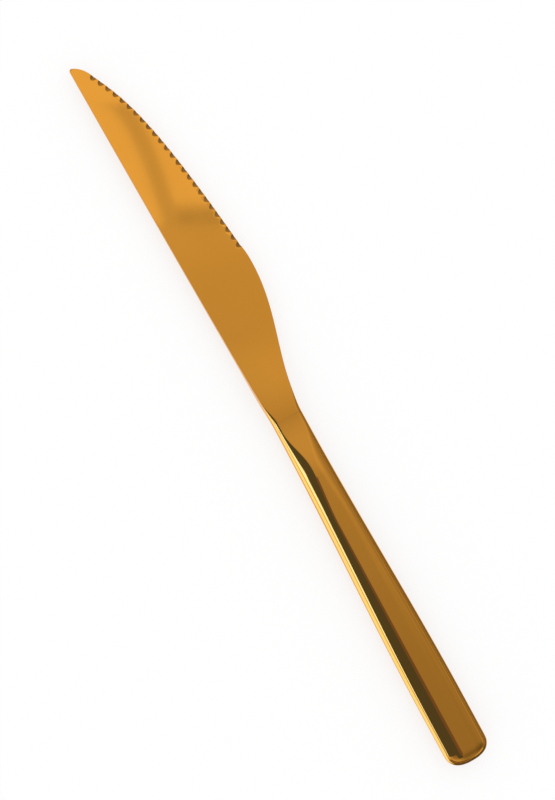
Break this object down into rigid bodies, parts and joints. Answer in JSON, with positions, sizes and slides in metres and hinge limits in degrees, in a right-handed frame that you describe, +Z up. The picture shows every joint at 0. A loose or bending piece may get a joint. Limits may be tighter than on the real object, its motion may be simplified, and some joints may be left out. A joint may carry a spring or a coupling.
{
  "type": "steak knife",
  "caption": "Steak knife with a curved, part-serrated blade, a slim neck and a hollow rounded handle, gold-coloured and polished all over, lying on its side.",
  "frame": {"origin": "middle of the box that holds the knife, on the plane that its handle's lower flat rests on", "axes": "+X along the handle's axis to the blade's tip, +Y towards the spine, +Z up from the broad face"},
  "size_m": [0.232, 0.0206, 0.007],
  "materials": {
    "blade_metal": "polished",
    "handle_metal": "polished",
    "braze_metal": "polished",
    "cement": "matte"
  },
  "bodies": {
    "root": {"blade": "blade_metal", "upper_handle_shell": "handle_metal", "lower_handle_shell": "handle_metal", "shell_seam_weld": "handle_metal", "bolster_braze_ring": "braze_metal", "tang_cement": "cement"}
  },
  "joints": []
}
